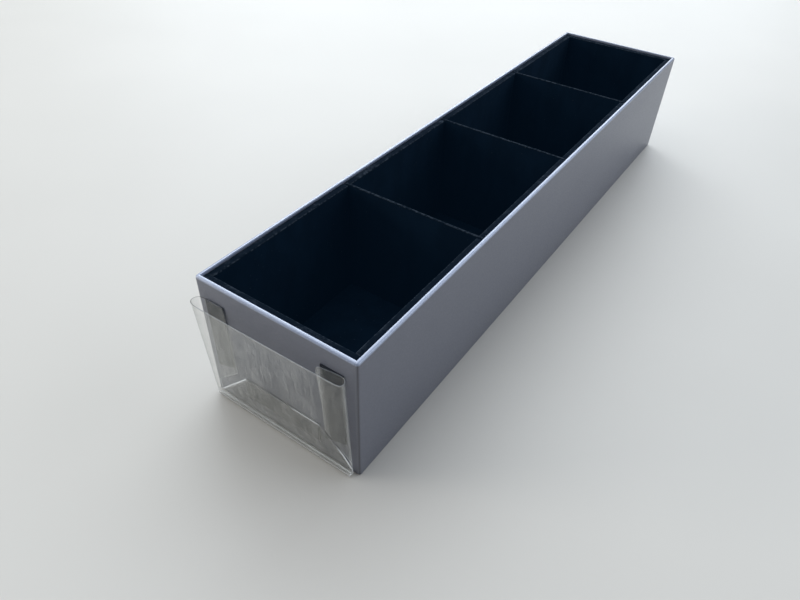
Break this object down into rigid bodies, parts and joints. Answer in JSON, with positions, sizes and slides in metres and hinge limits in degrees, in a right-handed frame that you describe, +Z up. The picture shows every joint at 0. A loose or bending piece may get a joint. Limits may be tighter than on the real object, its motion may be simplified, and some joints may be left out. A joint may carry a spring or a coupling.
{
  "type": "card drawer tray",
  "caption": "Long open drawer tray for trading cards: paper-wrapped board walls, black flocked lining, lift-out dividers and a clear label pocket on the front.",
  "frame": {"origin": "centre of the tray's underside, on the surface it stands on", "axes": "+X to the right across the tray, +Y along the tray from its front to its back, +Z up; the front with the label pocket faces -Y"},
  "size_m": [0.107, 0.4823, 0.087],
  "materials": {
    "greyboard": "raw grey board, fine fibre",
    "gummed_tape": "brown gummed paper",
    "wrapping_paper": "satin coated grey paper with a faint blue sheen",
    "base_paper": "plain matt dark paper",
    "flock_lining": "black flock with paler worn edges and a little lint",
    "flock_divider": "black flock on thin board, paler top edge",
    "clear_film": "clear folded film, faint haze and rub marks, bright cut edges",
    "foam_tape": "dark double-sided foam tape"
  },
  "bodies": {
    "tray": {"base_board": "greyboard", "front_board": "greyboard", "back_board": "greyboard", "left_board": "greyboard", "right_board": "greyboard", "corner_stay_front_left": "gummed_tape", "corner_stay_front_right": "gummed_tape", "corner_stay_back_left": "gummed_tape", "corner_stay_back_right": "gummed_tape", "outer_wrap": "wrapping_paper", "base_sheet": "base_paper", "floor_lining": "flock_lining", "front_lining": "flock_lining", "back_lining": "flock_lining", "left_lining_1": "flock_lining", "left_lining_2": "flock_lining", "left_lining_3": "flock_lining", "left_lining_4": "flock_lining", "right_lining_1": "flock_lining", "right_lining_2": "flock_lining", "right_lining_3": "flock_lining", "right_lining_4": "flock_lining", "label_pocket": "clear_film", "pocket_tape_left": "foam_tape", "pocket_tape_right": "foam_tape", "pocket_tape_bottom": "foam_tape"},
    "front_divider": {"divider_1": "flock_divider"},
    "middle_divider": {"divider_2": "flock_divider"},
    "rear_divider": {"divider_3": "flock_divider"}
  },
  "joints": [
    {"name": "front_divider_lift", "type": "slide", "parent": "tray", "child": "front_divider", "axis": [0, 0, 1], "range_m": [0, 0.09]},
    {"name": "middle_divider_lift", "type": "slide", "parent": "tray", "child": "middle_divider", "axis": [0, 0, 1], "range_m": [0, 0.09]},
    {"name": "rear_divider_lift", "type": "slide", "parent": "tray", "child": "rear_divider", "axis": [0, 0, 1], "range_m": [0, 0.09]}
  ]
}
